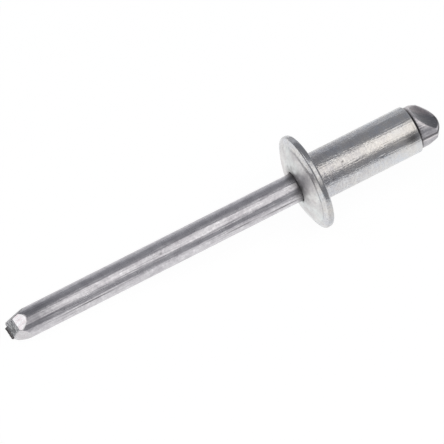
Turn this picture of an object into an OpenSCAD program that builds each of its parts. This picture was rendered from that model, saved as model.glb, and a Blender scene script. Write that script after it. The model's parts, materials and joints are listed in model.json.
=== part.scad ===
// Dome-head blind rivet as supplied: a tubular body threaded on its mandrel, lying at rest.
// Each piece is drawn upright, with the seat of the flange at height 0, the tip of the
// mandrel up and the blind end down, and is then laid down on its rim and its tip.

/* [Rivet body] */
// Diameter of the tubular shank
shank_d = 4.8; // [4:0.1:6.4]
// Length of the shank below the seat of the flange
shank_l = 11.2; // [8:0.1:20]
// Diameter of the flange
flange_d = 9.7; // [9:0.1:13]
// Height of the dome's crown above the seat, as if it had no hole
crown_h = 1.82; // [1.7:0.02:2.4]
// Radius of the dome
dome_r = 10.4; // [9.5:0.1:13]
// Rounding of the flange's rim, below and above
rim_round = 0.27; // [0.15:0.01:0.3]
// Rounding of the mouth where the mandrel leaves the dome
mouth_round = 0.35; // [0.2:0.01:0.45]
// Fillet between the shank and the seat
root_fillet = 0.2; // [0.1:0.01:0.3]
// Rounding of the shank's outer edge at the blind end
tail_round = 0.12; // [0.05:0.01:0.25]
// Distance of the heading punch's ring mark from the rim
mark_inset = 0.7; // [0.5:0.05:1.2]
// Depth of that ring mark
mark_depth = 0.05; // [0.02:0.01:0.08]
// Gap between the mandrel and the bore, on the radius
bore_gap = 0.05; // [0.03:0.01:0.12]

/* [Mandrel] */
// Diameter of the drawn wire
stem_d = 2.9; // [2.4:0.05:3.1]
// Length of the mandrel above the dome's crown
stem_out = 30.9; // [27:0.1:45]
// Diameter of the narrowest point of the break neck
neck_d = 1.9; // [1.5:0.05:2.2]
// Height of the break neck above the head
neck_rise = 1.6; // [1.2:0.1:3]
// Width of the break neck's groove
neck_w = 0.7; // [0.4:0.05:1]

/* [Mandrel head] */
// Diameter of the upset head
head_d = 4.3; // [3.8:0.05:4.6]
// Length of the head beyond the shank
head_l = 2.7; // [2.4:0.05:3.5]
// Radius of the head's rounded end
head_end_r = 2.95; // [2.6:0.05:3.6]
// Bevel round the head's seat
head_bevel = 0.18; // [0.05:0.01:0.25]
// Distance from the shank to where the pincer scoops start
scoop_start = 0.35; // [0.2:0.05:0.8]
// Radius of the pincer jaws that leave the scoops
scoop_r = 4.5; // [3.5:0.1:8]
// Width of the ridge left between the two scoops
ridge_w = 0.3; // [0.2:0.05:0.6]
// Height of the die flash along the head
flash_h = 0.06; // [0.03:0.01:0.1]
// Width of the die flash
flash_w = 0.12; // [0.08:0.01:0.2]
// Turn of the scoops about the mandrel, from upright
scoop_turn = 9; // [-180:1:180]

/* [Mandrel tip] */
// Slope of the front and back facets
broad_slope = 22; // [15:1:35]
// Slope of the left facet
left_slope = 17; // [12:1:30]
// Slope of the right facet
right_slope = 33; // [20:1:38]
// Distance of the front facet from the axis, at the end
front_off = 0.82; // [0.7:0.02:1.2]
// Distance of the back facet from the axis, at the end
back_off = 1; // [0.7:0.02:1.2]
// Distance of the left facet from the axis, at the end
left_off = 0.9; // [0.5:0.02:1]
// Distance of the right facet from the axis, at the end
right_off = 0.48; // [0.4:0.02:1]
// Turn of the front facet about the mandrel, from upright
front_turn = -13; // [-30:1:10]
// Turn of the left facet
left_turn = 53; // [45:1:80]
// Turn of the back facet, from straight down
back_turn = -22; // [-40:1:0]
// Turn of the right facet, from level
right_turn = -16; // [-40:1:0]
// Tilt of the sheared end, its back edge the longer
end_tilt = 11.5; // [0:0.5:15]
// Height of the burr left on that edge
burr_h = 0.28; // [0.1:0.01:0.5]
// Width of the burr
burr_w = 1.34; // [0.8:0.02:1.6]
// How far the burr's middle lies to the left
burr_side = 0.08; // [0:0.01:0.2]
// Thickness of the burr
burr_t = 0.14; // [0.08:0.01:0.25]

/* [Hidden] */
$fn = 96;
zinc = "#d3d5d2";
wire = "#8d898f";

shank_r = shank_d / 2;
flange_r = flange_d / 2;
stem_r = stem_d / 2;
head_r = head_d / 2;
bore_r = stem_r + bore_gap;
over = 1; // how far a cutter reaches past what it cuts

// The dome's centre, and the centres of the two small arcs that run into it
dome_z = crown_h - dome_r;
rim_x = flange_r - rim_round;
rim_z = arc_height(rim_x, rim_round);
mouth_x = bore_r + mouth_round;
mouth_z = arc_height(mouth_x, mouth_round);
mark_x = flange_r - mark_inset;
mark_r = 2 * mark_depth;

// The mandrel's stations
tip_z = crown_h + stem_out;
head_z = -shank_l;
end_z = head_z - head_l;
neck_z = head_z + neck_rise;

// Height at which an arc of radius r, centred x from the axis, touches the dome from inside
function arc_height(x, r) = dome_z + sqrt(pow(dome_r - r, 2) - x * x);
// The point outside the dome on the line from its centre through an arc's centre
function beyond(x, z) =
    let(far = (dome_r + over) / norm([x, z - dome_z])) [x * far, dome_z + (z - dome_z) * far];

// How far short of the end a facet leaves the wire round, at angle a from upright
function facet_left(a, turn, off, slope) = (stem_r * cos(a - turn) - off) / tan(slope);
function round_left(a) = max(
    0,
    facet_left(a, front_turn, front_off, broad_slope),
    facet_left(a, left_turn, left_off, left_slope),
    facet_left(a, back_turn + 180, back_off, broad_slope),
    facet_left(a, right_turn - 90, right_off, right_slope)
);
// The angle at which the rivet lies if the wire touches the floor at angle a from its underside
function lie_at(a) =
    let(
        along = tip_z - round_left(a + 180) - rim_z,
        down = rim_x - stem_r * cos(a)
    )
    atan(down / along) + asin(rim_round / norm([along, down]));

lie = min([for (a = [-45 : 1 : 45]) lie_at(a)]);
rest_z = rim_x * cos(lie) + rim_z * sin(lie) + rim_round;
burr_up = (burr_w / 2 + burr_side) * sin(-back_turn) - (back_off - burr_t) * cos(back_turn);
left_x = -(tip_z + burr_h) * cos(lie) - burr_up * sin(lie);
right_x = (head_l + shank_l + flash_h) * cos(lie) + ridge_w / 2 * sin(lie);

// Lays an upright piece down on the rim and the tip, over the middle of its own outline
module laid_down() {
    translate([-(left_x + right_x) / 2, 0, rest_z])
        rotate([0, -90 - lie, 0])
            children();
}

// Half of the flange's section: the dome's arc, run into the rounded rim
module flange_section() {
    intersection() {
        polygon([[0, 0], [rim_x, 0], [rim_x, rim_z], beyond(rim_x, rim_z), [0, crown_h + over]]);
        translate([0, dome_z]) circle(dome_r);
    }
    translate([0, rim_round]) square([flange_r, rim_z - rim_round]);
    translate([rim_x, rim_round]) circle(rim_round);
    translate([rim_x, rim_z]) circle(rim_round);
}

// Half of the shank's section, with the fillet under the flange and the eased blind end
module shank_section() {
    translate([0, -shank_l + tail_round]) square([shank_r, shank_l - tail_round]);
    translate([0, -shank_l]) square([shank_r - tail_round, tail_round * 2]);
    translate([shank_r - tail_round, -shank_l + tail_round]) circle(tail_round);
    difference() {
        translate([shank_r - over / 10, -root_fillet]) square([root_fillet + over / 10, root_fillet * 1.5]);
        translate([shank_r + root_fillet, -root_fillet]) circle(root_fillet);
    }
}

// What the bore and its rounded mouth take out of the section
module bore_section() {
    translate([0, -shank_l - over]) square([bore_r, shank_l + crown_h + 2 * over]);
    difference() {
        polygon([[0, mouth_z], [mouth_x, mouth_z], beyond(mouth_x, mouth_z), [0, crown_h + over]]);
        translate([mouth_x, mouth_z]) circle(mouth_round);
    }
}

// The ring that the heading punch pressed into the dome beside the rim
module ring_mark() {
    raised = dome_r + mark_r - mark_depth;
    translate([mark_x, dome_z + sqrt(raised * raised - mark_x * mark_x)]) circle(mark_r);
}

// Rivet body: tube and domed flange headed in one piece, bright zinc plate
module rivet_body() {
    color(zinc)
        laid_down()
            rotate_extrude()
                difference() {
                    union() {
                        flange_section();
                        shank_section();
                    }
                    bore_section();
                    ring_mark();
                }
}

// The wire with its break neck, before its tip is pinched
module stem_blank() {
    rotate_extrude()
        difference() {
            translate([0, head_z - over / 10]) square([stem_r, tip_z - head_z + over / 10]);
            polygon([
                [neck_d / 2, neck_z],
                [stem_r + over / 10, neck_z + neck_w / 2],
                [stem_r + over / 10, neck_z - neck_w / 2]
            ]);
        }
}

// One flat that a pinching jaw leaves, at its turn about the wire and its distance from the axis
module pinch_facet(turn, off, slope) {
    rotate([0, 0, turn])
        translate([off, 0, tip_z])
            rotate([0, -slope, 0])
                translate([0, -stem_d, -3 * stem_d]) cube([stem_d, 2 * stem_d, 4 * stem_d]);
}

// Four facets, no two alike, and the sheared end between them
module tip_cuts() {
    pinch_facet(front_turn, front_off, broad_slope);
    pinch_facet(left_turn, left_off, left_slope);
    pinch_facet(back_turn + 180, back_off, broad_slope);
    pinch_facet(right_turn - 90, right_off, right_slope);
    rotate([0, 0, back_turn])
        translate([-back_off, 0, tip_z])
            rotate([0, end_tilt, 0])
                translate([-stem_d, -stem_d, 0]) cube([3 * stem_d, 2 * stem_d, stem_d]);
}

// The burr that the shearing left standing on the back edge of the end
module tip_burr() {
    rotate([0, 0, back_turn])
        translate([-back_off, burr_side - burr_w / 2, tip_z - 2 * burr_t])
            cube([burr_t, burr_w, 2 * burr_t + burr_h]);
}

// The upset head before its end is pinched off, grown all round by the stated amount
module head_blank(grow) {
    intersection() {
        union() {
            translate([0, 0, end_z - grow]) cylinder(r = head_r + grow, h = head_l - head_bevel + grow);
            translate([0, 0, head_z - head_bevel])
                cylinder(r1 = head_r + grow, r2 = head_r + grow - head_bevel, h = head_bevel);
        }
        translate([0, 0, end_z + head_end_r]) sphere(head_end_r + grow);
    }
}

// One of the two scoops: a round jaw that bites from the head's side to the ridge at its end
module head_scoop() {
    edge = [head_r, head_z - scoop_start];
    crest = [ridge_w / 2, end_z];
    middle = (edge + crest) / 2;
    chord = (edge - crest) / norm(edge - crest);
    reach = sqrt(scoop_r * scoop_r - pow(norm(edge - crest) / 2, 2));
    centre = middle + reach * [chord[1], -chord[0]];
    translate([centre[0], 0, centre[1]])
        rotate([90, 0, 0]) cylinder(r = scoop_r, h = 3 * head_d, center = true);
}

// The flash squeezed out between the two heading dies, in the plane of the ridge
module head_flash() {
    intersection() {
        head_blank(flash_h);
        translate([-flash_w / 2, -head_d, end_z - over]) cube([flash_w, 2 * head_d, head_l + over]);
    }
}

// Mandrel: wire, pinched tip, hidden break neck and upset head in one piece, plain steel
module mandrel() {
    color(wire)
        laid_down() {
            difference() {
                stem_blank();
                tip_cuts();
            }
            tip_burr();
            rotate([0, 0, scoop_turn]) {
                difference() {
                    head_blank(0);
                    head_scoop();
                    rotate([0, 0, 180]) head_scoop();
                }
                head_flash();
            }
        }
}

rivet_body();
mandrel();
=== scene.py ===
import json
import math

import bmesh
import bpy
import numpy as np
from bpy.types import Operator, Panel, PropertyGroup
from bpy.props import FloatProperty, FloatVectorProperty, IntProperty, PointerProperty
from mathutils import Matrix, Vector, noise


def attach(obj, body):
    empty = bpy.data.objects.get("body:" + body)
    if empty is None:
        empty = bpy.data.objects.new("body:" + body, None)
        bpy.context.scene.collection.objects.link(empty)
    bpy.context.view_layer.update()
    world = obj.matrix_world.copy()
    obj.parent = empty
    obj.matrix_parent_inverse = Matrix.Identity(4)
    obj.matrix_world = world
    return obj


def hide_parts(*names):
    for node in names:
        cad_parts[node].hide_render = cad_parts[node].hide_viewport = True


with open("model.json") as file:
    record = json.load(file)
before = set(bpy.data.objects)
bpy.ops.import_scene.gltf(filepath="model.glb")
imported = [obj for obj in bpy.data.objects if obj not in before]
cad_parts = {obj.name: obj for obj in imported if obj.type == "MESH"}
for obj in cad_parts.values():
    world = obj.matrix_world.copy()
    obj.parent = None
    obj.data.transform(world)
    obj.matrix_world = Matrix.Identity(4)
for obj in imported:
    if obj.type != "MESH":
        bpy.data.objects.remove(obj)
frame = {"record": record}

bl_info = {
    "name": "Blind Rivet",
    "version": (1, 0, 0),
    "blender": (4, 5, 0),
    "location": "3D View > Sidebar > Rivet",
    "description": "Dresses the solids of a dome-head blind rivet and sets its studio",
    "category": "Add Mesh",
}

MM = 0.001
MICRON = 1e-6
FULL_TURN = 2 * math.pi
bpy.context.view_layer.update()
MOUNTS = {mount["name"]: mount for mount in frame["record"]["mounts"]}
SHANK = MOUNTS["shank"]
WIRE = MOUNTS["stem"]
ROOT_FILLET = 0.2 * MM
TAIL_ROUND = 0.12 * MM

# The rivet lies with its axis a little off level. Its own frame has the seat of the flange at
# height 0, the tip of the mandrel up, and its x axis points upwards where the rivet lies.
TO_HEAD = Vector(SHANK["axis"]).normalized()
SHANK_WALL = SHANK["dims"]["length_mm"] * MM
SEAT = Vector(SHANK["pos_m"]) - TO_HEAD * (SHANK_WALL / 2 + ROOT_FILLET)
UPRIGHT = Vector((0, 1, 0)).cross(-TO_HEAD)
LAID = Matrix((UPRIGHT, (0, 1, 0), -TO_HEAD)).transposed().to_4x4()
LAID.translation = SEAT


def length(name, description, millimetres):
    """A size that a user may change, held in metres."""
    return FloatProperty(
        name=name, description=description, default=millimetres * MM, unit="LENGTH", precision=5
    )


def angle(name, description, degrees):
    """An angle that a user may change, held in radians."""
    return FloatProperty(
        name=name, description=description, default=math.radians(degrees), subtype="ANGLE"
    )


def colour(name, description, value):
    """A colour that a user may change."""
    return FloatVectorProperty(
        name=name, description=description, default=value, subtype="COLOR", size=3, min=0, max=1
    )


def settings():
    """The scene's own values."""
    return bpy.context.scene.rivet


class RivetBodySizes(PropertyGroup):
    """Sizes of the plated rivet body."""

    shank_radius: length("Shank Radius", "Radius of the tube", SHANK["dims"]["r_mm"])
    shank_length: length("Shank Length", "From the seat to the blind end", 11.2)
    flange_radius: length("Flange Radius", "Radius of the flange", 4.85)
    crown_height: length("Crown Height", "Crown of the dome above the seat", 1.82)
    dome_radius: length("Dome Radius", "Radius of the dome's arc", 10.4)
    rim_round: length("Rim Round", "Rounding of the flange's rim", 0.27)
    mouth_round: length("Mouth Round", "Rounding round the wire", 0.35)
    mark_inset: length("Mark Inset", "Ring mark, in from the rim", 0.7)
    mark_depth: length("Mark Depth", "Depth of the ring mark", 0.05)
    mark_width: length("Mark Width", "Half width of the ring mark", 0.12)
    bore_gap: length("Bore Gap", "Gap round the wire", 0.05)
    segments: IntProperty(name="Segments", description="Faces round the body", default=288)
    uneven: length("Unevenness", "Most that the plated skin sinks", 0.018)
    uneven_reach: length("Unevenness Reach", "Between its swells", 1.0)


class MandrelSizes(PropertyGroup):
    """Sizes of the mandrel."""

    wire_radius: length("Wire Radius", "Radius of the drawn wire", WIRE["dims"]["r_mm"])
    wire_out: length("Wire Length", "Wire above the dome's crown", 30.9)
    neck_radius: length("Neck Radius", "Radius of the break neck", 0.95)
    neck_rise: length("Neck Rise", "Break neck above the head", 1.6)
    neck_width: length("Neck Width", "Width of its groove", 0.7)
    head_radius: length("Head Radius", "Radius of the upset head", 2.15)
    head_length: length("Head Length", "Head beyond the shank", 2.7)
    head_end_radius: length("Head End Radius", "Rounding of the head's end", 2.95)
    head_bevel: length("Head Bevel", "Bevel round the head's seat", 0.18)
    scoop_start: length("Scoop Start", "From the shank to the scoops", 0.35)
    scoop_radius: length("Scoop Radius", "Radius of the pincer jaws", 4.5)
    scoop_turn: angle("Scoop Turn", "Turn of the scoops from upright", 9)
    ridge_width: length("Ridge Width", "Ridge between the scoops", 0.3)
    flash_height: length("Flash Height", "Height of the die flash", 0.06)
    flash_width: length("Flash Width", "Width of the die flash", 0.12)
    end_tilt: angle("End Tilt", "Tilt of the sheared end", 11.5)
    burr_height: length("Burr Height", "Height of the burr", 0.28)
    burr_width: length("Burr Width", "Width of the burr", 1.34)
    burr_side: length("Burr Side", "Burr's middle, to the left", 0.08)
    burr_thickness: length("Burr Thickness", "Thickness of the burr", 0.14)
    edge_round: length("Edge Round", "Rounding of the pinched edges", 0.05)
    torn_depth: length("Torn Depth", "Roughness of the sheared end", 0.05)
    draw_depth: length("Draw Depth", "Depth of the draw lines", 0.012)
    segments: IntProperty(name="Segments", description="Faces round the wire", default=256)


class Finishes(PropertyGroup):
    """Colours of the metals."""

    zinc: colour("Zinc", "Bright zinc plate", (0.84, 0.835, 0.815))
    zinc_cool: colour("Cool Zinc", "Its bluish patches", (0.71, 0.76, 0.83))
    # Painted highlight tint: besides random patches, this warm colour is laid along the side where the
    # highlight falls.
    zinc_warm: colour("Warm Zinc", "Its yellowish patches", (0.84, 0.785, 0.71))
    zinc_satin: colour("Satin Zinc", "Greenish clouds on the dome", (0.92, 0.96, 0.92))
    zinc_rosy: colour("Rosy Zinc", "Rosy clouds on the dome", (0.965, 0.94, 0.93))
    steel: colour("Steel", "Plain drawn steel", (0.97, 0.955, 0.975))
    steel_dark: colour("Dark Steel", "Oily and oxidised steel", (0.42, 0.40, 0.43))
    steel_fresh: colour("Fresh Steel", "Steel burnished by the jaws", (0.68, 0.69, 0.69))
    steel_rubbed: colour("Rubbed Steel", "Pinkish streaks on it", (0.58, 0.52, 0.53))
    # Painted highlight as well as a rubbed lip: this bright colour goes along the scoops' edges and
    # under the flash.
    steel_lip_and_highlight: colour("Scoop Lip", "Rubbed lip of a scoop", (0.96, 0.91, 0.91))
    rust: colour("Rust Film", "Brownish film in a scoop", (0.47, 0.41, 0.42))
    # Also laid as painted shade over dull scoops, the head's lower side and a band below the tip.
    torn: colour("Torn Steel", "Sheared and torn steel", (0.14, 0.14, 0.16))
    # Painted shade: this dark colour goes in seams, corners, the ring mark, dents and round the wire,
    # besides oil and dust.
    shade_and_grime: colour("Shade And Grime", "Oil and dust in the crevices", (0.06, 0.055, 0.055))


class Studio(PropertyGroup):
    """Camera, lights and floor."""

    azimuth: angle("Camera Azimuth", "From +X, seen from above", -119.307)
    elevation: angle("Camera Elevation", "Above the horizon", 48.954)
    distance: length("Camera Distance", "From the point it aims at", 760)
    lens: FloatProperty(name="Lens", description="Focal length in millimetres", default=643.1)
    floor_radius: length("Floor Radius", "Radius of the white table", 52)
    floor: colour("Floor", "The white table", (0.8, 0.8, 0.8))
    room: colour("Room", "The dim room round the table", (0.264, 0.269, 0.288))


class RivetSettings(PropertyGroup):
    """All the groups of sizes and colours."""

    body: PointerProperty(type=RivetBodySizes)
    mandrel: PointerProperty(type=MandrelSizes)
    finishes: PointerProperty(type=Finishes)
    studio: PointerProperty(type=Studio)


# The four facets of the pinched tip: turn about the wire, distance from its axis at the end, slope
FACETS = {
    name: (math.radians(turn), off * MM, math.radians(slope))
    for name, turn, off, slope in (
        ("front", -13, 0.82, 22), ("left", 53, 0.90, 17),
        ("back", 158, 1.00, 22), ("right", -106, 0.48, 33),
    )
}
# How bright the jaws rubbed two of them, and how dull they left a third
FRESHNESS = {"front": 1.0, "right": 0.45}
DULLNESS = {"left": 0.8}
# How far below the tip the facets end, and where the wire is round for certain
FACET_LENGTH = 2.3 * MM
TIP_LENGTH = 2.4 * MM
# A darker band on the wire below the front facet: where it starts below the tip, its reach and its
# share
DARK_BAND_START = 2.2 * MM
DARK_BAND_REACH = 2.6 * MM
DARK_BAND_SHARE = 0.7
# How deep below its plane the sheared end still looks torn
TORN_BAND = 0.12 * MM
# Where the painted shade in the seam between head and tube is darkest: a turn and its spread, in
# degrees
SEAM_SIDE = (-25, 50)
# How dark the burr's section is painted, painted shade and dirt, from its foot inside over its top to
# its foot outside
BURR_SHADE_AND_DIRT = (0.7, 0.7, 1.0, 1.0, 1.0, 1.0, 1.0)
# The point of the part that the camera looks at
AIM = Vector((0.816, 1.839, 1.747)) * MM

# The soft boxes: colour, turn about the rivet, tilt towards the head, length, width, brightness
SOFTBOXES = {
    "key_box": ((1.0, 0.985, 0.95), -26, 8, 420 * MM, 270 * MM, 0.9),
    "tip_box": ((0.99, 0.99, 1.0), 13, -28, 120 * MM, 130 * MM, 1.3),
    "back_box": ((0.97, 0.98, 1.0), 80, 10, 420 * MM, 120 * MM, 0.34),
}
BOX_DISTANCE = 300 * MM

# The side of the tube on which a warm sheen is painted into the zinc, where the highlight falls
SHEEN_SIDE = Vector((math.cos(math.radians(-36)), math.sin(math.radians(-36)), 0))

# Small dents: turn in degrees; height, half length, half width, depth in mm; how much darker they are
# painted
BODY_NICKS = (
    (-32.6, -3.08, 0.1, 0.09, 0.03, 0.9),
    (-60, -1.2, 0.6, 0.05, 0.03, 0.8),
    (-63, -6.85, 0.22, 0.08, 0.03, 0.1),
    (148, -5.2, 0.4, 0.07, 0.025, 0.5),
    (64, -8.6, 0.12, 0.12, 0.02, 0.3),
)
WIRE_NICKS = (
    (-32, 16.7, 0.18, 0.09, 0.03, 0.7),
    (23.9, 12.6, 0.35, 0.06, 0.03, 0.3),
    (-89, 3.6, 2.2, 0.07, 0.035, 1),
    (-80, 8.4, 1.8, 0.06, 0.03, 0.8),
    (-73.6, 24.6, 2.6, 0.06, 0.03, 0.7),
    (-89.6, 27, 1.5, 0.05, 0.025, 0.5),
    (120, 19, 3, 0.05, 0.03, 0.5),
    (170, 9, 2.4, 0.06, 0.025, 0.4),
)


# Meshes

def arc(centre, radius, first, last, steps):
    """Points on an arc of the section, its first end left out, angles in degrees."""
    turns = np.radians(np.linspace(first, last, steps + 1))[1:]
    return [(centre[0] + radius * math.cos(t), centre[1] + radius * math.sin(t)) for t in turns]


def line(first, last, steps):
    """Points on a straight of the section, its first end left out."""
    shares = np.linspace(0, 1, steps + 1)[1:]
    return [tuple(np.array(first) * (1 - s) + np.array(last) * s) for s in shares]


def bore_radius(sizes):
    """Radius of the bore round the wire."""
    return settings().mandrel.wire_radius + sizes.bore_gap


def body_section(sizes):
    """The body's closed section, from the bore's blind end up and back outside."""
    dome_z = sizes.crown_height - sizes.dome_radius
    bore, tail = bore_radius(sizes), -sizes.shank_length
    shank, flange, edge = sizes.shank_radius, sizes.flange_radius, sizes.rim_round
    rim_x = flange - edge

    def under_dome(x, radius):
        rise = math.sqrt((sizes.dome_radius - radius) ** 2 - x * x)
        return (x, dome_z + rise), math.degrees(math.atan2(rise, x))

    mouth, mouth_end = under_dome(bore + sizes.mouth_round, sizes.mouth_round)
    rim, rim_start = under_dome(rim_x, edge)

    points = line((bore, tail), (bore, mouth[1]), 14)
    points += arc(mouth, sizes.mouth_round, 180, mouth_end, 10)
    for turn in np.radians(np.linspace(mouth_end, rim_start, 46))[1:]:
        x = sizes.dome_radius * math.cos(turn)
        away = x - flange + sizes.mark_inset
        radius = sizes.dome_radius - sizes.mark_depth * bell(away, sizes.mark_width)
        points.append((radius * math.cos(turn), dome_z + radius * math.sin(turn)))
    points += arc(rim, edge, rim_start, 0, 9)
    points += line((flange, rim[1]), (flange, edge), 3)
    points += arc((rim_x, edge), edge, 0, -90, 9)
    root = shank + ROOT_FILLET
    points += line((rim_x, 0), (root, 0), 10)
    points += arc((root, -ROOT_FILLET), ROOT_FILLET, 90, 180, 6)
    eased, eased_z = shank - TAIL_ROUND, tail + TAIL_ROUND
    points += line((shank, -ROOT_FILLET), (shank, eased_z), 104)
    points += arc((eased, eased_z), TAIL_ROUND, 0, -90, 6)
    points += line((eased, tail), (bore, tail), 5)
    return points


def new_mesh(name, points, faces=()):
    """A mesh of points and faces."""
    mesh = bpy.data.meshes.new(name)
    mesh.from_pydata(points, [], faces)
    return mesh


def new_object(name, data):
    """A new object in the scene."""
    made = bpy.data.objects.new(name, data)
    bpy.context.scene.collection.objects.link(made)
    return made


def link(tree, source, target):
    """Joins one output to one input, each given as (node, name or number)."""
    tree.links.new(source[0].outputs[source[1]], target[0].inputs[target[1]])


def is_output(value):
    """Whether a value is a pair (node, output)."""
    return isinstance(value, tuple) and isinstance(value[0], bpy.types.Node)


def put(tree, kind, settings=None, **inputs):
    """Adds a node, sets its properties, and sets or links its inputs.

    The kind goes without ShaderNode. An input's name is written with _ for a blank, or as in_0
    for its number. A value that is a pair (node, output) is linked.
    """
    node = tree.nodes.new(kind if kind.startswith("Geometry") else "ShaderNode" + kind)
    for name, value in (settings or {}).items():
        setattr(node, name, value)
    for name, value in inputs.items():
        place = int(name[3:]) if name.startswith("in_") else name.replace("_", " ")
        if is_output(value):
            link(tree, value, (node, place))
        else:
            node.inputs[place].default_value = value
    return node


def maths(tree, operation, *values):
    """A Math node on one, two or three values or outputs."""
    inputs = {f"in_{n}": value for n, value in enumerate(values)}
    return put(tree, "Math", {"operation": operation}, **inputs), 0


def vectors(tree, operation, first, second):
    """A Vector Math node on two values or outputs."""
    return put(tree, "VectorMath", {"operation": operation}, in_0=first, in_1=second), 0


def group_tree(name, inputs, outputs, kind="ShaderNodeTree"):
    """A node group and its two end nodes; a number input comes with its default value."""
    tree = bpy.data.node_groups.new(name, kind)
    for label, value in inputs.items():
        socket = value if isinstance(value, str) else {int: "Int", float: "Float"}[type(value)]
        item = tree.interface.new_socket(label, in_out="INPUT", socket_type="NodeSocket" + socket)
        if socket != value:
            item.default_value = value
    for label, socket in outputs.items():
        tree.interface.new_socket(label, in_out="OUTPUT", socket_type="NodeSocket" + socket)
    return tree, tree.nodes.new("NodeGroupInput"), tree.nodes.new("NodeGroupOutput")


def turned_points(tree, given, place):
    """Geometry nodes that turn the section's points about the axis, into a closed skin."""
    count = put(tree, "GeometryNodeAttributeDomainSize", {"component": "MESH"}, in_0=(given, "Section"))
    points = (count, "Point Count")
    grid = put(
        tree, "GeometryNodeMeshGrid", Size_X=1.0, Size_Y=1.0,
        Vertices_X=total(tree, (given, "Segments"), 1.0), Vertices_Y=total(tree, points, 1.0),
    )
    spot = put(tree, "SeparateXYZ", Vector=place)
    turn = maths(tree, "MULTIPLY_ADD", (spot, "X"), FULL_TURN, math.pi)
    step = maths(tree, "ROUND", product(tree, total(tree, (spot, "Y"), 0.5), points))
    sample = put(
        tree, "GeometryNodeSampleIndex", {"data_type": "FLOAT_VECTOR", "domain": "POINT"},
        Geometry=(given, "Section"), Value=place, Index=maths(tree, "MODULO", step, points),
    )
    found = put(tree, "SeparateXYZ", Vector=(sample, 0))
    spun = put(
        tree, "CombineXYZ", X=product(tree, (found, "X"), maths(tree, "COSINE", turn)),
        Y=product(tree, (found, "X"), maths(tree, "SINE", turn)), Z=(found, "Z"),
    )
    shaped = put(tree, "GeometryNodeSetPosition", Geometry=(grid, "Mesh"), Position=(spun, 0))
    return put(tree, "GeometryNodeMergeByDistance", Geometry=(shaped, 0), Distance=MICRON), 0


def turning_tree():
    """Geometry nodes that turn a section about the axis and sink its skin here and there.

    The turned grid faces inwards at first, so that a move along its normals sinks the skin.
    """
    inputs = {
        "Section": "Geometry", "Segments": 256, "Unevenness": 0.0, "Reach": 0.001,
        "Seed": 0.0, "Material": "Material",
    }
    tree, given, result = group_tree(
        "turned_section", inputs, {"Geometry": "Geometry"}, "GeometryNodeTree"
    )
    place = put(tree, "GeometryNodeInputPosition"), 0
    closed = turned_points(tree, given, place)
    swell = vectors(tree, "DIVIDE", place, (given, "Reach"))
    swell = vectors(tree, "ADD", swell, (given, "Seed"))
    cloud = put(tree, "TexNoise", Vector=swell, Scale=1.0, Detail=3.0)
    depth = product(tree, (cloud, 0), (given, "Unevenness"))
    normal = put(tree, "GeometryNodeInputNormal"), 0
    shift = put(tree, "VectorMath", {"operation": "SCALE"}, in_0=normal, Scale=depth)
    sunk = put(tree, "GeometryNodeSetPosition", Geometry=closed, Offset=(shift, 0))
    smooth = put(tree, "GeometryNodeSetShadeSmooth", Geometry=(sunk, 0))
    real = put(tree, "GeometryNodeRealizeInstances", Geometry=(smooth, 0))
    material = (given, "Material")
    dressed = put(tree, "GeometryNodeSetMaterial", Geometry=(real, 0), Material=material)
    link(tree, (dressed, 0), (result, 0))
    return tree


def grown_mesh(name, source, tree, **values):
    """The plain mesh that a node tree makes from a mesh and named values."""
    maker = new_object(name, source)
    modifier = maker.modifiers.new("nodes", "NODES")
    modifier.node_group = tree
    for item in tree.interface.items_tree:
        if item.in_out == "INPUT" and item.name in values:
            modifier[item.identifier] = values[item.name]
    graph = bpy.context.evaluated_depsgraph_get()
    mesh = bpy.data.meshes.new_from_object(maker.evaluated_get(graph), depsgraph=graph)
    maker.modifiers.clear()
    bpy.data.objects.remove(maker)
    mesh.name = name
    return mesh


def mesh_points(mesh):
    """The mesh's vertices as an array."""
    points = np.zeros(len(mesh.vertices) * 3)
    mesh.vertices.foreach_get("co", points)
    return points.reshape(-1, 3)


def set_points(mesh, points):
    """Puts an array back as the mesh's vertices."""
    mesh.vertices.foreach_set("co", points.astype(np.float32).ravel())
    mesh.update()


def about_axis(points):
    """Turn about the axis, distance from it and height of each point."""
    x, y, height = np.moveaxis(points, -1, 0)
    return np.arctan2(y, x), np.hypot(x, y), height


def most(*values):
    """The most of several arrays, point by point."""
    return np.maximum.reduce(values)


def bell(away, spread):
    """1 where away is 0, falling off on both sides of it."""
    return np.exp(-(away / spread) ** 2)


def near_turn(turn, degrees, spread):
    """1 at a turn about the axis, falling off on both sides of it, in degrees."""
    return bell(turn - math.radians(degrees), math.radians(spread))


def ripple(turn):
    """An uneven wave round the axis, between about -1 and 1."""
    return (np.sin(5 * turn + 1.2) + 0.7 * np.sin(11 * turn + 0.4) + 0.5 * np.sin(23 * turn)) / 1.6


def push_in(points, depth):
    """Moves points towards the axis."""
    radius = np.hypot(points[:, 0], points[:, 1])
    points[:, :2] *= (1 - depth / np.maximum(radius, MICRON))[:, None]


def press_nicks(mesh, nicks):
    """Presses small dents into a round wall, and returns how much darker each vertex is painted."""
    points = mesh_points(mesh)
    nick_darkening = np.zeros(len(points))
    for degrees, *sizes, shade_and_grime in nicks:
        level, along, across, depth = (size * MM for size in sizes)
        turn, radius, height = about_axis(points)
        away = (turn - math.radians(degrees) + math.pi) % FULL_TURN - math.pi
        share = bell(away * radius, across) * bell(height - level, along)
        push_in(points, depth * share)
        nick_darkening = np.maximum(nick_darkening, shade_and_grime * share)
    set_points(mesh, points)
    return nick_darkening


def outward(mesh):
    """Merges doubles and turns every face outwards."""
    work = bmesh.new()
    work.from_mesh(mesh)
    bmesh.ops.remove_doubles(work, verts=work.verts, dist=MICRON / 10)
    bmesh.ops.recalc_face_normals(work, faces=work.faces)
    work.to_mesh(mesh)
    work.free()
    mesh.update()


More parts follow.
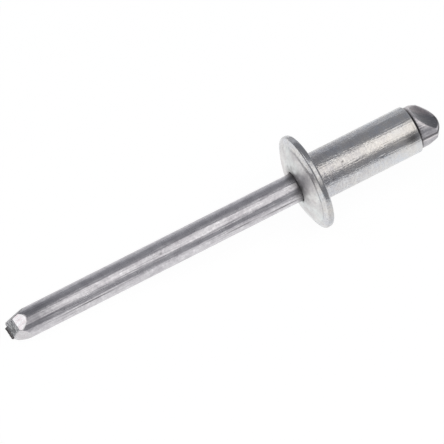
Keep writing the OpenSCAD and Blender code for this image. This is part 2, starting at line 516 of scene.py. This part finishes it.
def add_piece(mesh, material):
    """Lays a finished mesh down where the CAD part lies, as a piece on the body."""
    mesh.transform(LAID)
    outward(mesh)
    mesh.shade_smooth()
    mesh.materials.clear()
    mesh.materials.append(material)
    piece = new_object(mesh.name, mesh)
    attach(piece, "root")
    return piece


def smooth_least(values, soft):
    """The least of several arrays, with the edges between them rounded."""
    least = values[0]
    for value in values[1:]:
        part = np.clip(0.5 + 0.5 * (value - least) / soft, 0, 1)
        least = value + (least - value) * part - soft * part * (1 - part)
    return least


def facet_reach(facet, turn, down):
    """Radius at which each ray meets a facet, down being the distance below the tip."""
    at, off, slope = facet
    facing = np.cos(turn - at)
    reach = (off + down * math.tan(slope)) / np.maximum(facing, 0.05)
    return np.where(facing > 0.05, reach, 1.0)


def wire_reach(sizes, turn, height):
    """Radius of the wire and its pinched tip."""
    down = tip_height(sizes) - height
    facets = [facet_reach(facet, turn, down) for facet in FACETS.values()]
    return smooth_least([sizes.wire_radius, *facets], sizes.edge_round)


def tip_height(sizes):
    """Height of the mandrel's tip above the seat."""
    return settings().body.crown_height + sizes.wire_out


def ring(turn, radius, height):
    """One row of points round the axis."""
    return np.stack(np.broadcast_arrays(radius * np.cos(turn), radius * np.sin(turn), height), -1)


def end_height(sizes, points):
    """Height of the tilted sheared end over points given by x and y."""
    turn, off, _ = FACETS["back"]
    forward = -(points[..., 0] * math.cos(turn) + points[..., 1] * math.sin(turn))
    return tip_height(sizes) - (forward + off) * math.tan(sizes.end_tilt)


def tip_rows(sizes, turn):
    """Rows of points from the middle of the sheared end down to the round wire."""
    top = tip_height(sizes)
    low = top - TIP_LENGTH
    for _ in range(8):
        top = end_height(sizes, ring(turn, wire_reach(sizes, turn, top), top))
    ease = 0.03 * MM
    heights = np.linspace(low, top - ease, 84)[::-1]
    rows = [ring(turn, wire_reach(sizes, turn, height), height) for height in heights]
    rim = wire_reach(sizes, turn, top)
    cap = []
    for part in np.linspace(0, 1, 22)[1:]:
        row = ring(turn, (rim - ease) * part, top)
        row[:, 2] = end_height(sizes, row) - torn_sink(sizes, row, 1 - part)
        cap.append(row)
    middle = np.zeros((1, 3))
    middle[0, 2] = end_height(sizes, middle)[0] - sizes.torn_depth / 2
    return middle, cap + rows


def torn_sink(sizes, row, inwards):
    """How far the torn end lies below its plane, nothing at its edge."""
    grain = np.array([noise.turbulence(Vector(p) / (0.32 * MM), 3, False) for p in row])
    return sizes.torn_depth * np.clip(grain, 0, 1.5) * min(1, inwards * 6)


def stem_rows(sizes, turn):
    """Rows down the round wire and through the break neck."""
    neck = -settings().body.shank_length + sizes.neck_rise
    half = sizes.neck_width / 2
    heights = np.linspace(tip_height(sizes) - TIP_LENGTH, 0, 170)[1:]
    groove = (
        ring(turn, sizes.wire_radius, neck + half),
        ring(turn, sizes.neck_radius, neck),
        ring(turn, sizes.wire_radius, neck - half),
    )
    return [*(ring(turn, sizes.wire_radius, height) for height in heights), *groove]


def crowded(turn, where):
    """Turns that crowd together at where and opposite it, for the thin flash."""
    return turn - 0.3 * np.sin(2 * (turn - where))


def ridge_places(sizes, points):
    """How far each point lies across the ridge, and along it."""
    cosine, sine = math.cos(sizes.scoop_turn), math.sin(sizes.scoop_turn)
    x, y = points[..., 0], points[..., 1]
    return x * cosine + y * sine, y * cosine - x * sine


def head_walls(sizes, points):
    """Height above each wall of the head: cylinder with flash, round end, bevel, scoops."""
    x, y = ridge_places(sizes, points)
    z = points[..., 2]
    top = -settings().body.shank_length
    end = top - sizes.head_length
    flash = sizes.flash_height * np.exp(-(x / (0.6 * sizes.flash_width)) ** 4)
    across = np.hypot(x, y)
    edge = np.array((sizes.head_radius, top - sizes.scoop_start))
    crest = np.array((sizes.ridge_width / 2, end))
    chord = np.linalg.norm(edge - crest)
    side = (edge - crest) / chord
    reach = math.sqrt(sizes.scoop_radius ** 2 - (chord / 2) ** 2)
    centre = (edge + crest) / 2 + reach * np.array((side[1], -side[0]))
    return [
        across - sizes.head_radius - flash,
        np.hypot(across, z - end - sizes.head_end_radius) - sizes.head_end_radius - flash,
        (across - sizes.head_radius + z - top + sizes.head_bevel) / math.sqrt(2),
        sizes.scoop_radius - np.hypot(np.abs(x) - centre[0], z - centre[1]),
    ]


def head_inside(walls):
    """Below 0 inside all the given walls, with the edges between them rounded."""
    return -smooth_least([-wall for wall in walls], 0.04 * MM)


def head_rows(sizes, turn):
    """Rows over the upset head, from its seat to the middle of its end."""
    top = -settings().body.shank_length
    depth, farthest = 1.0 * MM, 4 * MM
    heart = top - depth
    rim = sizes.head_radius - sizes.head_bevel
    steepest = math.atan2(rim, depth)
    rows = [ring(turn, sizes.wire_radius, top), ring(turn, rim - 0.02 * MM, top)]
    for tilt in np.linspace(math.pi - steepest, 0, 84)[:-1]:
        near, far = np.zeros_like(turn), np.full_like(turn, farthest)
        for _ in range(30):
            reach = (near + far) / 2
            points = ring(turn, reach * math.sin(tilt), heart - reach * math.cos(tilt))
            inside = head_inside(head_walls(sizes, points)) < 0
            near, far = np.where(inside, reach, near), np.where(inside, far, reach)
        height = np.minimum(heart - near * math.cos(tilt), top)
        rows.append(ring(turn, near * math.sin(tilt), height))
    pole = np.array([[0, 0, top - sizes.head_length - sizes.flash_height * 0.9]])
    return rows, pole


def closed_mesh(name, first, rows, last):
    """A closed mesh from a point, rows of equal length round it, and a last point."""
    count = len(rows[0])
    points = np.concatenate([first, *rows, last])
    sides = [(n, (n + 1) % count) for n in range(count)]
    end, pole = 1 + (len(rows) - 1) * count, len(points) - 1
    faces = [(0, 1 + a, 1 + b) for a, b in sides]
    for near in range(1, end, count):
        far = near + count
        faces += [(near + a, far + a, far + b, near + b) for a, b in sides]
    faces += [(end + a, pole, end + b) for a, b in sides]
    return new_mesh(name, points.tolist(), faces)


def draw_lines(sizes, mesh):
    """Presses fine grooves along the drawn wire, none deeper than draw_depth."""
    rng = np.random.default_rng(7)
    points = mesh_points(mesh)
    turn, radius, height = about_axis(points)
    waves = np.zeros(len(points))
    for count in (5, 9, 14, 23, 31, 44, 57, 73):
        start, drift = rng.uniform(0, FULL_TURN, 2)
        strength = 1 + 0.6 * np.sin(height / (rng.uniform(4, 9) * MM) + drift)
        waves += strength * np.cos(count * turn + start) / 8
    skin = np.clip((1.02 - radius / sizes.wire_radius) / 0.02, 0, 1) * (height > 0)
    push_in(points, sizes.draw_depth * (0.5 + 0.5 * waves) * skin)
    set_points(mesh, points)


def store(mesh, name, values):
    """Keeps one value for each vertex, which the materials read."""
    layer = mesh.attributes.new(name, "FLOAT", "POINT")
    layer.data.foreach_set("value", np.asarray(values, np.float32))


def tip_wear_and_shade(sizes, points):
    """What pinching and shearing left: bright and dull facets, a torn end; also a darker band below the
    front facet, painted shade round the left facet and a darker middle of the end.
    """
    turn, radius, height = about_axis(points)
    down = tip_height(sizes) - height
    gaps = {name: facet_reach(facet, turn, down) - radius for name, facet in FACETS.items()}
    bright, dull = (
        most(*(share * (gaps[name] < 0.03 * MM) for name, share in shares.items()))
        * (down < FACET_LENGTH)
        for shares in (FRESHNESS, DULLNESS)
    )
    # Painted shade: a dark line round the left facet.
    outline = 0.6 * bell(gaps["left"] - 0.05 * MM, 0.04 * MM) * (down < FACET_LENGTH)
    beyond = np.maximum(down - DARK_BAND_START, 0)
    dark_band = DARK_BAND_SHARE * bell(beyond, DARK_BAND_REACH) * near_turn(turn, -20, 40)
    dark_band *= (bright == 0) * (dull == 0)
    on_end = (end_height(sizes, points) - height < TORN_BAND) * (height > 0)
    inwards = wire_reach(sizes, turn, height) - radius
    return {
        "pinched": bright,
        "scooped": np.maximum(dull, dark_band),
        "torn": on_end * np.clip((inwards - 0.02 * MM) / (0.15 * MM), 0, 1),
        "crevice": np.maximum(outline, 0.6 * on_end * bell(radius, 0.28 * MM)),
    }


def foot_shade(points):
    """Painted shade on the wire where it enters the body."""
    turn, _, height = about_axis(points)
    above = np.maximum(height - settings().body.crown_height + 0.1 * MM, 0)
    reach = 0.58 * MM * (1 + 0.35 * ripple(turn))
    return {"crevice": 0.75 * bell(above, reach) * (height > 0)}


def head_wear_and_light(sizes, points):
    """Painted shade in the head's seat, its seam and by its flash, and on its lower side; dull scoops
    painted dark, with rust; rubbed lips and painted highlights.
    """
    turn, _, height = about_axis(points)
    top = -settings().body.shank_length
    beyond, clear = height < top, height < top - 0.05 * MM
    across, along = ridge_places(sizes, points)
    foot = 1.1 * sizes.flash_width
    *round_walls, bite = head_walls(sizes, points)
    blank = head_inside(round_walls)

    # Painted shade in the seam between head and tube, in the seat and beside the flash.
    bevel = np.clip((height - top + 0.3 * MM) / (0.12 * MM), 0, 1) * (height < 0)
    bevel *= 0.45 + 0.45 * near_turn(turn, *SEAM_SIDE)
    seat = 0.65 * bell(top - height, 0.34 * MM) * near_turn(turn, -58, 30)
    flash = 0.8 * bell(across - foot, 0.8 * sizes.flash_width)

    # Painted highlight: a bright lip along each scoop's edge, a bright spike on the side towards the
    # camera, a bright line under the flash.
    lip = bell(blank, 0.2 * MM) * bell(bite, 0.3 * MM)
    lip *= np.clip(1.6 * np.cos(turn - math.radians(70)), 0, 1)
    spike = near_turn(turn, -40, 18) * (blank > -0.05 * MM) * np.clip(1 + bite / (0.4 * MM), 0, 1)
    under_flash = 0.7 * bell(across + foot, 0.8 * sizes.flash_width)
    lip = most(lip, spike, under_flash)

    # Painted shade: the scoops darker than their dull steel, and the head's lower side darker.
    scoop = np.clip(-blank / (0.05 * MM), 0, 1) * (1 - lip) * clear
    below = 0.35 * np.clip(np.cos(turn - math.radians(-115)), 0, 1) * beyond
    return {
        "crevice": most(bevel, seat * beyond, flash * beyond),
        "lip": lip * clear,
        "scooped": np.maximum(scoop, below),
        "rusty": scoop * np.clip((along - 0.1 * MM) / (0.7 * MM), 0, 1),
        "matt": beyond,
    }


def mandrel_mesh(sizes):
    """The whole mandrel but its burr, as one closed skin."""
    turn = np.linspace(0, FULL_TURN, sizes.segments, endpoint=False)
    first, rows = tip_rows(sizes, turn)
    rows += stem_rows(sizes, turn)
    ends, last = head_rows(sizes, crowded(turn, sizes.scoop_turn + math.pi / 2))
    mesh = closed_mesh("mandrel_drawn", first, rows + ends, last)
    draw_lines(sizes, mesh)
    parts = [{"crevice": press_nicks(mesh, WIRE_NICKS)}]
    points = mesh_points(mesh)
    parts += [tip_wear_and_shade(sizes, points), foot_shade(points), head_wear_and_light(sizes, points)]
    for name in ("crevice", "scooped", "pinched", "torn", "lip", "rusty", "matt"):
        store(mesh, name, most(*(part[name] for part in parts if name in part)))
    return mesh


def burr_mesh(sizes):
    """The ragged lip that the shearing left standing on the back edge of the end."""
    turn, off, _ = FACETS["back"]
    outwards = np.array((math.cos(turn), math.sin(turn), 0))
    across = np.array((-math.sin(turn), math.cos(turn), 0))
    up = np.array((0, 0, 1))
    foot = 0.25 * MM
    outer, inner = off - 0.004 * MM, off - sizes.burr_thickness
    rows = []
    for place in np.linspace(-0.5, 0.5, 43):
        ragged = 0.5 + 0.5 * noise.noise(Vector((place * 9, 3.7, 1.1)))
        rise = sizes.burr_height * (0.7 + 0.3 * ragged) * min(1, (0.5 - abs(place)) * 14 + 0.35)
        rise *= 0.8 - 0.4 * place
        lean = 0.02 * MM * noise.noise(Vector((place * 7, 0.3, 8.8)))
        outline = (
            (inner, -foot), (inner, 0), (inner + 0.2 * (outer - inner), rise * 0.7),
            ((outer + inner) / 2 + lean, rise), (outer - 0.1 * (outer - inner), rise * 0.8),
            (outer, 0), (outer, -foot),
        )
        middle = across * (place * sizes.burr_width - sizes.burr_side) + up * tip_height(sizes)
        rows.append(np.array([middle + outwards * x + up * z for x, z in outline]))
    first, last = rows[0].mean(0, keepdims=True), rows[-1].mean(0, keepdims=True)
    return closed_mesh("tip_burr", first, rows, last)


# Finishes

def local_place(tree):
    """Object coordinates turned and centred on the rivet's own axis, in millimetres."""
    spot = put(tree, "TexCoord")
    turned = put(
        tree, "Mapping", {"vector_type": "TEXTURE"}, Vector=(spot, "Object"),
        Location=SEAT, Rotation=LAID.to_euler(), Scale=(MM, MM, MM),
    )
    return turned, 0


def cloud(tree, place, scale, detail, low, high):
    """Noise that runs from 0 to 1 between two of its own levels."""
    raw = put(tree, "TexNoise", Vector=place, Scale=scale, Detail=detail)
    return ranged(tree, (raw, 0), 0.0, 1.0, low, high)


def mottle_group():
    """Clouds and fine grain of a plated or oxidised skin."""
    tree, given, result = group_tree(
        "fine_mottle",
        {"Place": "Vector", "Cloud Size": 1.5, "Grain Size": 0.12},
        {"Clouds": "Float", "Grain": "Float"},
    )
    for name, size, *levels in (
        ("Clouds", "Cloud Size", 3.0, 0.35, 0.65), ("Grain", "Grain Size", 4.0, 0.3, 0.7)
    ):
        scale = maths(tree, "DIVIDE", 1.0, (given, size))
        link(tree, cloud(tree, (given, "Place"), scale, *levels), (result, name))
    return tree


def lines_group():
    """Lines that run along the rivet, as drawing and heading leave them."""
    tree, given, result = group_tree(
        "drawn_lines", {"Place": "Vector", "Width": 0.08, "Length": 6.0}, {"Lines": "Float"}
    )
    across = maths(tree, "DIVIDE", 1.0, (given, "Width"))
    along = maths(tree, "DIVIDE", 1.0, (given, "Length"))
    stretch = put(tree, "CombineXYZ", X=across, Y=across, Z=along), 0
    place = vectors(tree, "MULTIPLY", (given, "Place"), stretch)
    link(tree, cloud(tree, place, 1.0, 2.0, 0.3, 0.7), (result, "Lines"))
    return tree


def specks_group():
    """Sparse small specks, 1 on a speck and 0 beside it."""
    tree, given, result = group_tree(
        "sparse_specks",
        {"Place": "Vector", "Spacing": 0.6, "Size": 0.12, "Amount": 0.3},
        {"Specks": "Float"},
    )
    scale = maths(tree, "DIVIDE", 1.0, (given, "Spacing"))
    cells = put(tree, "TexVoronoi", Vector=(given, "Place"), Scale=scale)
    near = ranged(tree, (cells, "Distance"), 1.0, 0.0, 0.0, (given, "Size"))
    tone = put(tree, "SeparateColor", Color=(cells, "Color"))
    some = maths(tree, "LESS_THAN", (tone, 0), (given, "Amount"))
    link(tree, product(tree, near, some), (result, "Specks"))
    return tree


def use_group(tree, name, place, **inputs):
    """Places a node group, building it the first time."""
    makers = {"fine_mottle": mottle_group, "drawn_lines": lines_group, "sparse_specks": specks_group}
    group = bpy.data.node_groups.get(name) or makers[name]()
    return put(tree, "Group", {"node_tree": group}, Place=place, **inputs)


def blend_colour(tree, amount, first, second):
    """A mix of two colours, each a colour or an output."""
    first, second = (tone if is_output(tone) else (*tone, 1) for tone in (first, second))
    mix = put(tree, "Mix", {"data_type": "RGBA"}, in_0=amount, in_6=first, in_7=second)
    return mix, 2


def tinted(tree, skin, *tints):
    """A skin under several tints, each a colour and the shares whose product is its strength."""
    for tone, *shares in tints:
        skin = blend_colour(tree, product(tree, *shares), skin, tone)
    return skin


def ranged(tree, value, low, high, start=0.0, end=1.0):
    """Brings an output that runs from start to end between two levels."""
    levels = {"From_Min": start, "From_Max": end, "To_Min": low, "To_Max": high}
    return put(tree, "MapRange", Value=value, **levels), 0


def new_material(name):
    """A material and its node tree."""
    material = bpy.data.materials.new(name)
    material.use_nodes = True
    return material, material.node_tree


def dress(tree, skin, rough, relief, depth):
    """Makes the shader a metal of this colour and roughness, with a relief of this depth."""
    shader = tree.nodes["Principled BSDF"]
    shader.inputs["Metallic"].default_value = 1.0
    bump = put(tree, "Bump", Strength=1.0, Distance=depth, Height=relief), 0
    for source, name in ((skin, "Base Color"), (rough, "Roughness"), (bump, "Normal")):
        link(tree, source, (shader, name))


def attribute(tree, name):
    """A value that the mesh keeps for each vertex."""
    return put(tree, "Attribute", {"attribute_name": name}), "Fac"


def product(tree, first, *others):
    """Several values multiplied."""
    for other in others:
        first = maths(tree, "MULTIPLY", first, other)
    return first


def total(tree, first, *others):
    """Several values added."""
    for other in others:
        first = maths(tree, "ADD", first, other)
    return first


def zinc_plate(tree, place, zones, mottle, rings, finishes):
    """Colour of the plate: clouds, grain, rings, a satin dome, specks, a painted warm sheen where the
    highlight falls, and painted shade with grime.
    """
    coarse, dome, tube = zones
    tint = use_group(tree, "fine_mottle", place, Cloud_Size=2.3, Grain_Size=0.35)
    specks = use_group(tree, "sparse_specks", place, Spacing=0.9, Size=0.1, Amount=0.25)
    facing, _ = vectors(tree, "DOT_PRODUCT", place, SHEEN_SIDE / SHANK["dims"]["r_mm"])
    sheen = ranged(tree, (facing, "Value"), 0.0, 1.0, 0.86, 0.99)
    clouds, grain = (tint, "Clouds"), (mottle, "Grain")
    matt = maths(tree, "SUBTRACT", coarse, product(tree, dome, 0.5))
    blotch = total(tree, (mottle, "Clouds"), product(tree, grain, 0.5))
    return tinted(
        tree, blend_colour(tree, clouds, finishes.zinc_cool, finishes.zinc),
        # Painted highlight: a warm sheen on the side where the highlight falls.
        (finishes.zinc_warm, sheen, tube, 0.55),
        (finishes.zinc_warm, (tint, "Grain"), 0.5),
        (finishes.steel_dark, grain, matt, 0.55),
        (finishes.steel_dark, (rings, 0), coarse, tube, 0.5),
        (blend_colour(tree, clouds, finishes.zinc_satin, finishes.zinc_rosy), dome, 0.6),
        (finishes.steel_dark, blotch, dome, 0.3),
        (finishes.torn, (specks, 0), 0.6),
        # Painted shade and grime over the mask of seams, dents and the dome round the wire.
        (finishes.shade_and_grime, attribute(tree, "crevice"), 0.92),
    )


def zinc_material(finishes):
    """Bright zinc plate, its grain coarsest by the flange, its dome satin."""
    material, tree = new_material("bright_zinc_plate")
    place = local_place(tree)
    height = put(tree, "SeparateXYZ", Vector=place), "Z"
    coarse = ranged(tree, height, 0.35, 1.0, -9.0, -1.0)
    dome = ranged(tree, height, 0.0, 1.0, 0.85, 1.0)
    tube = ranged(tree, height, 0.0, 1.0, 0.0, -0.2)
    mottle = use_group(tree, "fine_mottle", place, Cloud_Size=1.1, Grain_Size=0.2)
    lines = use_group(tree, "drawn_lines", place, Width=0.14, Length=2.2)
    rings = use_group(tree, "drawn_lines", place, Width=1.3, Length=0.2)
    plate = zinc_plate(tree, place, (coarse, dome, tube), mottle, rings, finishes)
    rough = total(
        tree, ranged(tree, (mottle, "Clouds"), 0.17, 0.27), ranged(tree, (mottle, "Grain"), 0.0, 0.08),
        product(tree, dome, 0.14),
    )
    relief = total(
        tree, product(tree, (mottle, "Grain"), coarse), product(tree, (lines, 0), 0.5),
        product(tree, (rings, 0), coarse, 0.55),
    )
    relief = product(tree, relief, ranged(tree, tube, 0.3, 1.0))
    dress(tree, plate, rough, relief, 0.018 * MM)
    return material


def steel_skin(tree, place, finishes):
    """Colour of the drawn skin, its lines, clouds and specks."""
    mottle = use_group(tree, "fine_mottle", place, Cloud_Size=0.8, Grain_Size=0.22)
    lines = use_group(tree, "drawn_lines", place, Width=0.11, Length=4.0)
    specks = use_group(tree, "sparse_specks", place, Spacing=0.7, Size=0.1, Amount=0.3)
    skin = tinted(
        tree, finishes.steel,
        (finishes.steel_dark, (mottle, "Clouds"), 0.42),
        (finishes.steel_dark, (lines, 0), 0.62),
        (finishes.steel_dark, (mottle, "Grain"), 0.42),
        (finishes.torn, (specks, 0), 0.5),
    )
    return skin, (mottle, "Grain"), (lines, 0)


def steel_material(finishes, name, torn_colour):
    """Drawn steel: lines along the wire, burnished facets, a torn end, dull scoops painted dark,
    painted shade and painted highlights.
    """
    material, tree = new_material(name)
    place = local_place(tree)
    skin, grain, lines = steel_skin(tree, place, finishes)
    pinched, torn, matt = (attribute(tree, name) for name in ("pinched", "torn", "matt"))
    streaks = use_group(tree, "drawn_lines", place, Width=0.28, Length=1.6)
    ragged = use_group(tree, "fine_mottle", place, Cloud_Size=0.22, Grain_Size=0.07)
    fresh = blend_colour(tree, (streaks, 0), finishes.steel_fresh, finishes.steel_rubbed)
    fracture = blend_colour(tree, (ragged, "Clouds"), torn_colour, finishes.steel_fresh)
    skin = tinted(
        tree, skin,
        # Painted shade and dullness: the torn colour over dull facets and scoops, the head's lower side
        # and a darker band below the front facet.
        (finishes.torn, attribute(tree, "scooped"), 0.85),
        (finishes.rust, attribute(tree, "rusty"), ranged(tree, grain, 0.3, 1.0)),
        # Painted highlight along the scoops' edges and under the flash.
        (finishes.steel_lip_and_highlight, attribute(tree, "lip")),
        (fresh, pinched),
        (fracture, torn),
        # Painted shade and grime over the mask of seams, corners and dents.
        (finishes.shade_and_grime, attribute(tree, "crevice"), 0.9),
    )
    rough = total(
        tree, ranged(tree, grain, 0.25, 0.37), product(tree, torn, 0.2),
        product(tree, pinched, -0.1), product(tree, matt, 0.05),
    )
    plain = total(tree, 1.0, matt, product(tree, pinched, -0.85))
    drawn = total(tree, lines, product(tree, grain, 0.45))
    rough_end = product(tree, torn, (ragged, "Grain"), 2.0)
    relief = total(tree, product(tree, drawn, plain), rough_end)
    dress(tree, skin, rough, relief, 0.011 * MM)
    return material


def blend_shader(tree, share, plain, white, output):
    """Mixes two shaders into the named output node."""
    both = put(tree, "MixShader", in_0=share, in_1=plain, in_2=white)
    link(tree, (both, 0), (tree.nodes[output], "Surface"))


def table_material(studio):
    """White table, bright as paper to the eye and in the metal, that keeps a shadow."""
    material, tree = new_material("white_table")
    tree.nodes.remove(tree.nodes["Principled BSDF"])
    paper = put(tree, "BsdfDiffuse", Color=(*studio.floor, 1)), 0
    ray = put(tree, "LightPath")
    level = maths(tree, "MULTIPLY_ADD", (ray, "Is Glossy Ray"), -0.07, 1.1)
    white = put(tree, "Emission", Color=(1, 1, 1, 1), Strength=level), 0
    seen = maths(tree, "MAXIMUM", (ray, "Is Camera Ray"), (ray, "Is Glossy Ray"))
    seen = maths(tree, "MAXIMUM", seen, (ray, "Is Transmission Ray"))
    blend_shader(tree, product(tree, seen, 0.85), paper, white, "Material Output")
    return material


def add_floor(studio):
    """A round white table under the rivet."""
    turn = np.linspace(0, FULL_TURN, 96, endpoint=False)
    mesh = new_mesh("table", ring(turn, studio.floor_radius, 0).tolist(), [range(len(turn))])
    mesh.materials.append(table_material(studio))
    new_object("table", mesh)


def set_world(studio):
    """White behind the table to the eye, a dim room to the metal and the light."""
    world = bpy.data.worlds.new("studio")
    world.use_nodes = True
    tree = world.node_tree
    room = tree.nodes["Background"]
    room.inputs["Color"].default_value = (*studio.room, 1)
    white = put(tree, "Background", Color=(1, 1, 1, 1), Strength=1.0), 0
    ray = put(tree, "LightPath")
    seen = maths(tree, "MAXIMUM", (ray, "Is Camera Ray"), (ray, "Is Transmission Ray"))
    blend_shader(tree, seen, (room, 0), white, "World Output")
    bpy.context.scene.world = world


def direction(turn, tilt):
    """A direction at a turn about the rivet from upright, tilted towards the head, in degrees."""
    turn, tilt = math.radians(turn), math.radians(tilt)
    round_it = UPRIGHT * math.cos(turn) + Vector((0, 1, 0)) * math.sin(turn)
    return round_it * math.cos(tilt) + TO_HEAD * math.sin(tilt)


def add_softbox(name, tint, turn, tilt, along, across, brightness):
    """A soft box that faces the rivet, its sides along and across the axis."""
    data = bpy.data.lights.new(name, "AREA")
    data.shape = "RECTANGLE"
    data.size, data.size_y = along, across
    data.color = tint
    data.energy = brightness * math.pi * along * across
    away = direction(turn, tilt)
    side = (TO_HEAD - away * TO_HEAD.dot(away)).normalized()
    facing = Matrix((side, away.cross(side), away)).transposed()
    box = new_object(name, data)
    box.matrix_world = Matrix.LocRotScale(away * BOX_DISTANCE, facing, None)
    box.visible_camera = False


def add_camera(studio):
    """The camera at the photograph's angle."""
    level, up = math.cos(studio.elevation), math.sin(studio.elevation)
    away = Vector((level * math.cos(studio.azimuth), level * math.sin(studio.azimuth), up))
    data = bpy.data.cameras.new("camera")
    data.lens = studio.lens
    data.sensor_width = 36
    camera = new_object("camera", data)
    camera.location = AIM + away * studio.distance
    camera.rotation_euler = away.to_track_quat("Z", "Y").to_euler()
    bpy.context.scene.camera = camera


def mouth_shade(sizes, turn, radius, swell):
    """Painted shade on the dome round the wire: a ragged blot on the side towards the camera, a smaller
    patch, a thin line.
    """
    away = np.maximum(radius - bore_radius(sizes), 0) / MM
    reach = 0.62 + 0.16 * ripple(turn) + 0.3 * swell
    # Painted shade: a dark blot on the dome towards the camera, a patch further round, a thin line at
    # the bore.
    shade_blot = 0.3 * near_turn(turn, -42, 52) * bell(away, reach)
    shade_blot += 0.55 * near_turn(turn, -44, 40) * np.exp(-(away / (2.3 * reach)) ** 4)
    patch = 0.6 * near_turn(turn, 20, 24) * np.exp(-(away / (0.85 + 0.4 * swell)) ** 4)
    return shade_blot + patch + 0.1 * bell(away, 0.09)


def tail_shade(sizes, turn, height):
    """Painted shade on the tube's blind end: its edge by the seam, a turned ring by it, a dark band
    above.
    """
    up = height + sizes.shank_length
    edge = (up < 0.5 * TAIL_ROUND) * (0.3 + 0.6 * near_turn(turn, *SEAM_SIDE))
    ring_mark = 0.35 * bell(up - 0.32 * MM, 0.09 * MM) * near_turn(turn, -35, 22)
    shade_band = 0.75 * bell(up - 0.8 * MM, 0.8 * MM) * near_turn(turn, -58, 13)
    return most(edge, ring_mark, shade_band)


def body_shade_and_dirt(sizes, mesh):
    """How dark each vertex of the body is painted: painted shade round the mouth, in the ring mark, at
    the root and the tail, and a darker rim edge.
    """
    points = mesh_points(mesh)
    turn, radius, height = about_axis(points)
    swell = np.array([noise.noise(Vector(p) / (0.55 * MM)) for p in points])
    dome = height > 0.6 * sizes.rim_round
    mark_x = sizes.flange_radius - sizes.mark_inset
    # Painted shade in the ring mark, strongest on the side towards the camera.
    mark = bell(radius - mark_x, 0.5 * sizes.mark_width)
    mark *= 0.12 + (0.5 + 0.5 * swell) * near_turn(turn, -50, 42)
    # Painted shade in the corner under the flange; the rim's edge is darker all round.
    root = 0.6 * bell(radius - sizes.shank_radius, 0.2 * MM) * (np.abs(height) < 0.22 * MM)
    rim = 0.2 * (radius > sizes.flange_radius - 0.1 * MM)
    darkenings = (
        mouth_shade(sizes, turn, radius, swell) * dome, mark * dome, root, rim,
        tail_shade(sizes, turn, height),
    )
    return np.minimum(most(*darkenings), 1)


class RIVET_OT_make_body(Operator):
    """Turn the rivet body's section and dress it in bright zinc plate"""

    bl_idname = "rivet.make_body"
    bl_label = "Make Rivet Body"

    def execute(self, context):
        sizes = context.scene.rivet.body
        material = zinc_material(context.scene.rivet.finishes)
        source = new_mesh("rivet_section", [(x, 0, z) for x, z in body_section(sizes)])
        mesh = grown_mesh(
            "rivet_body_plated", source, turning_tree(), Segments=sizes.segments, Seed=4.0,
            Unevenness=sizes.uneven, Reach=sizes.uneven_reach, Material=material,
        )
        nick_darkening = press_nicks(mesh, BODY_NICKS)
        store(mesh, "crevice", np.maximum(body_shade_and_dirt(sizes, mesh), nick_darkening))
        piece = add_piece(mesh, material)
        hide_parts("rivet_body")
        return {"FINISHED"}


class RIVET_OT_make_mandrel(Operator):
    """Loft the mandrel's wire, pinched tip and upset head in drawn steel"""

    bl_idname = "rivet.make_mandrel"
    bl_label = "Make Mandrel"

    def execute(self, context):
        finishes = context.scene.rivet.finishes
        mesh = mandrel_mesh(context.scene.rivet.mandrel)
        material = steel_material(finishes, "drawn_steel", finishes.torn)
        piece = add_piece(mesh, material)
        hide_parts("mandrel")
        return {"FINISHED"}


class RIVET_OT_make_burr(Operator):
    """Stand the torn burr on the back edge of the sheared end"""

    bl_idname = "rivet.make_burr"
    bl_label = "Make Burr"

    def execute(self, context):
        finishes = context.scene.rivet.finishes
        mesh = burr_mesh(context.scene.rivet.mandrel)
        rows = (len(mesh.vertices) - 2) // len(BURR_SHADE_AND_DIRT)
        store(mesh, "torn", np.full(len(mesh.vertices), 0.85))
        store(mesh, "crevice", [BURR_SHADE_AND_DIRT[0], *BURR_SHADE_AND_DIRT * rows, BURR_SHADE_AND_DIRT[-1]])
        material = steel_material(finishes, "torn_steel", finishes.steel_rubbed)
        add_piece(mesh, material)
        return {"FINISHED"}


class RIVET_OT_set_stage(Operator):
    """Set the white table, the soft boxes and the camera"""

    bl_idname = "rivet.set_stage"
    bl_label = "Set Stage"

    def execute(self, context):
        studio = context.scene.rivet.studio
        add_floor(studio)
        set_world(studio)
        for name, box in SOFTBOXES.items():
            add_softbox(name, *box)
        add_camera(studio)
        context.scene.view_settings.view_transform = "Standard"
        return {"FINISHED"}


class RIVET_PT_panel(Panel):
    """The rivet's sizes, finishes and steps"""

    bl_label = "Blind Rivet"
    bl_idname = "RIVET_PT_panel"
    bl_space_type = "VIEW_3D"
    bl_region_type = "UI"
    bl_category = "Rivet"

    def draw(self, context):
        for part in ("body", "mandrel", "finishes", "studio"):
            box = self.layout.box()
            group = getattr(context.scene.rivet, part)
            box.label(text=part.capitalize())
            for name in group.__annotations__:
                box.prop(group, name)
        for operator in OPERATORS:
            self.layout.operator(operator.bl_idname)


OPERATORS = (RIVET_OT_make_body, RIVET_OT_make_mandrel, RIVET_OT_make_burr, RIVET_OT_set_stage)
CLASSES = (
    RivetBodySizes, MandrelSizes, Finishes, Studio, RivetSettings, *OPERATORS, RIVET_PT_panel
)


def register():
    for kind in CLASSES:
        bpy.utils.register_class(kind)
    bpy.types.Scene.rivet = PointerProperty(type=RivetSettings)


def unregister():
    del bpy.types.Scene.rivet
    for kind in reversed(CLASSES):
        bpy.utils.unregister_class(kind)


def main():
    register()
    bpy.ops.rivet.make_body()
    bpy.ops.rivet.make_mandrel()
    bpy.ops.rivet.make_burr()
    bpy.ops.rivet.set_stage()


if __name__ == "__main__":
    main()
